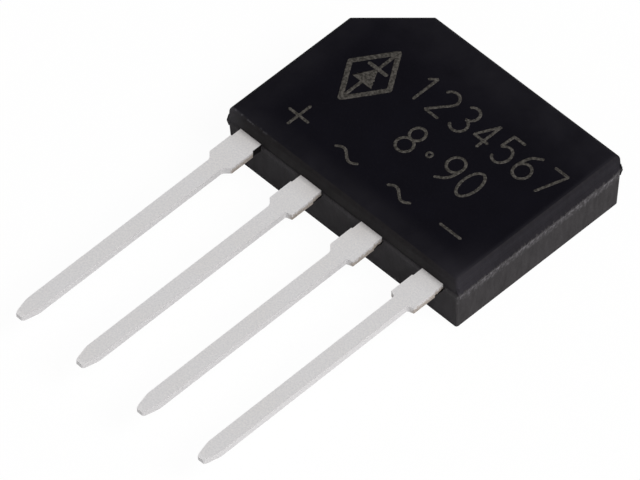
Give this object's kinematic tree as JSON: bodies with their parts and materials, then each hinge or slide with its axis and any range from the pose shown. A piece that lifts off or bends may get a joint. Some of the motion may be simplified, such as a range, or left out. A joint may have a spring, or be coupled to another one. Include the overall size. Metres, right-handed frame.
{
  "type": "bridge rectifier",
  "caption": "Single in-line bridge rectifier: flat black epoxy case with a cut corner over the plus lead, and a row of flat tin-plated leads.",
  "frame": {"origin": "centre of the case's back face, on which the part lies", "axes": "+Z out of the marked face, -Y along the leads, X along the row of leads from the plus lead at -X to the minus lead at +X"},
  "size_m": [0.0146, 0.0248, 0.0033],
  "materials": {
    "epoxy": "matte moulded epoxy compound",
    "tin_plate": "matte tin plate on copper",
    "silicon": "glass-passivated silicon",
    "copper": "bare copper strip",
    "solder": "soft solder"
  },
  "bodies": {
    "root": {"case": "epoxy", "lead_plus": "tin_plate", "lead_ac_1": "tin_plate", "lead_ac_2": "tin_plate", "lead_minus": "tin_plate", "die_1": "silicon", "clip_1": "copper", "pad_solder_1": "solder", "boss_solder_1": "solder", "foot_solder_1": "solder", "die_2": "silicon", "clip_2": "copper", "pad_solder_2": "solder", "boss_solder_2": "solder", "foot_solder_2": "solder", "die_3": "silicon", "clip_3": "copper", "pad_solder_3": "solder", "boss_solder_3": "solder", "foot_solder_3": "solder", "die_4": "silicon", "clip_4": "copper", "pad_solder_4": "solder", "boss_solder_4": "solder", "foot_solder_4": "solder"}
  },
  "joints": []
}
